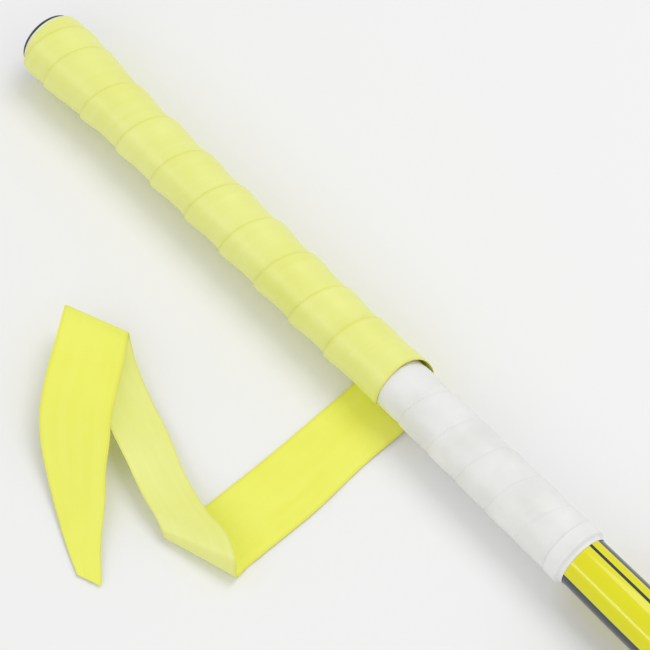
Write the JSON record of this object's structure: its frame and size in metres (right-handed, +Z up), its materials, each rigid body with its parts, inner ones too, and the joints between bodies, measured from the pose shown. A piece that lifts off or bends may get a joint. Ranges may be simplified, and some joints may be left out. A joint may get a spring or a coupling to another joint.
{
  "type": "taped stick handle",
  "caption": "Round stick handle with a cushion grip and a yellow overgrip tape part wound in a helix, its loose end folded beside it.",
  "frame": {"origin": "centre of the shaft's cut end, on the shaft's axis", "axes": "+X along the shaft out of its cut end, +Z up, the tape's loose end lies on the -Y side"},
  "size_m": [0.382, 0.159, 0.0322],
  "materials": {
    "shaft_lacquer": "glossy lacquer, yellow with charcoal bands",
    "plug_foam": "rigid foam",
    "cap_plastic": "moulded, satin",
    "cushion_white": "soft polyurethane, satin",
    "band_white": "thin finishing tape",
    "tape_yellow": "thin polyurethane tape, satin outside and matte inside"
  },
  "bodies": {
    "handle": {"shaft_tube": "shaft_lacquer", "foam_plug": "plug_foam", "end_cap": "cap_plastic", "cushion_grip": "cushion_white", "cushion_end_band": "band_white", "overgrip_wound": "tape_yellow", "overgrip_last_turn": "tape_yellow"},
    "tail_near": {"tail_run": "tape_yellow"},
    "tail_middle": {"tail_roll": "tape_yellow", "tail_return": "tape_yellow", "tail_crease": "tape_yellow"},
    "tail_far": {"tail_drop": "tape_yellow", "tail_tip": "tape_yellow"}
  },
  "joints": [
    {"name": "tail_wind", "type": "hinge", "parent": "handle", "child": "tail_near", "pos_m": [-0.155, 0, 0], "axis": [-1, 0, 0], "range_deg": [0, 120]},
    {"name": "fold_one", "type": "hinge", "parent": "tail_near", "child": "tail_middle", "pos_m": [-0.149, -0.1003, -0.0115], "axis": [0.9238, 0.3663, 0.1115], "range_deg": [0, 150]},
    {"name": "fold_two", "type": "hinge", "parent": "tail_middle", "child": "tail_far", "pos_m": [-0.2528, -0.0709, -0.0037], "axis": [-0.7753, -0.5222, 0.3552], "range_deg": [0, 140]}
  ]
}
